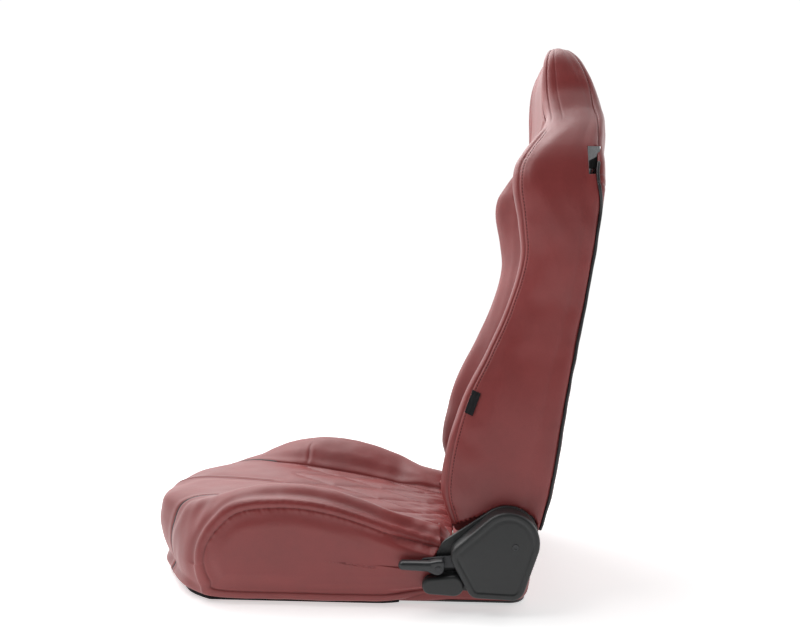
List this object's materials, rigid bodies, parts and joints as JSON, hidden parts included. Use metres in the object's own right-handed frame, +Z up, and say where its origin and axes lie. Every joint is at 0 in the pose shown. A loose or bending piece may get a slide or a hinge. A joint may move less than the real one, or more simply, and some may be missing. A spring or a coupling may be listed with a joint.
{
  "type": "reclining sport seat",
  "caption": "Reclining sport bucket seat with padded side bolsters, an integral headrest, harness pass-throughs and dual recliners.",
  "frame": {"origin": "on the floor, under the middle of the seat's box", "axes": "+Z up, the seat faces -Y, the seat's left side (lever side) is +X"},
  "size_m": [0.54, 0.78, 0.9262],
  "materials": {
    "leather": "smooth oxblood synthetic leather, semi-matte",
    "foam": "open-cell polyurethane foam",
    "frame_steel": "black e-coat, satin",
    "zinc_steel": "zinc plated",
    "black_plastic": "fine-grained moulded plastic",
    "bezel_chrome": "satin chrome",
    "piping": "black vinyl piping",
    "label": "woven black tab without lettering"
  },
  "bodies": {
    "seat_base": {"cushion_foam": "foam", "cushion_cover": "leather", "cushion_rear_flap": "leather", "rear_valance": "leather", "side_member_left": "frame_steel", "side_member_right": "frame_steel", "front_cross_tube": "frame_steel", "rear_cross_tube": "frame_steel", "seat_spring_1": "zinc_steel", "seat_spring_2": "zinc_steel", "seat_spring_3": "zinc_steel", "lower_arm_left": "frame_steel", "arm_bolt_1_left": "zinc_steel", "arm_bolt_2_left": "zinc_steel", "pivot_bolt_left": "zinc_steel", "pivot_nut_left": "zinc_steel", "pawl_pin_left": "zinc_steel", "recliner_backplate_left": "black_plastic", "recliner_cover_left": "black_plastic", "bracket_nose_left": "black_plastic", "lower_arm_right": "frame_steel", "arm_bolt_1_right": "zinc_steel", "arm_bolt_2_right": "zinc_steel", "pivot_bolt_right": "zinc_steel", "pivot_nut_right": "zinc_steel", "pawl_pin_right": "zinc_steel", "recliner_backplate_right": "black_plastic", "recliner_cover_right": "black_plastic", "bracket_nose_right": "black_plastic"},
    "backrest": {"upper_arm_left": "frame_steel", "recliner_spring_left": "frame_steel", "upper_arm_right": "frame_steel", "recliner_spring_right": "frame_steel", "back_foam": "foam", "back_cover": "leather", "back_panel": "leather", "back_piping_left": "piping", "back_piping_right": "piping", "back_hoop": "frame_steel", "headrest_hoop": "frame_steel", "back_spring_1": "zinc_steel", "back_spring_2": "zinc_steel", "back_spring_3": "zinc_steel", "back_spring_4": "zinc_steel", "harness_sleeve_left": "black_plastic", "harness_bezel_left": "bezel_chrome", "harness_sleeve_right": "black_plastic", "harness_bezel_right": "bezel_chrome", "label_tag": "label"},
    "release": {"release_cam_left": "frame_steel", "release_cam_right": "frame_steel", "release_shaft": "zinc_steel", "lever_arm": "frame_steel", "release_handle": "black_plastic", "handle_screw": "zinc_steel"},
    "left_pawl": {"pawl_left": "frame_steel"},
    "right_pawl": {"pawl_right": "frame_steel"}
  },
  "joints": [
    {"name": "recline", "type": "hinge", "parent": "seat_base", "child": "backrest", "pos_m": [0, 0.224, 0.109], "axis": [1, 0, 0], "range_deg": [-60, 20]},
    {"name": "release_lever", "type": "hinge", "parent": "seat_base", "child": "release", "pos_m": [0, 0.15, 0.079], "axis": [-1, 0, 0], "range_deg": [0, 28], "stiffness_Nm_per_rad": 1.2, "springref_deg": -20.05},
    {"name": "left_pawl_swing", "type": "hinge", "parent": "seat_base", "child": "left_pawl", "pos_m": [0, 0.187, 0.065], "axis": [1, 0, 0], "range_deg": [0, 9]},
    {"name": "right_pawl_swing", "type": "hinge", "parent": "seat_base", "child": "right_pawl", "pos_m": [0, 0.187, 0.065], "axis": [1, 0, 0], "range_deg": [0, 9]}
  ],
  "couplings": [
    {"joint": "left_pawl_swing", "follows": "release_lever", "ratio": 0.3},
    {"joint": "right_pawl_swing", "follows": "release_lever", "ratio": 0.3}
  ]
}
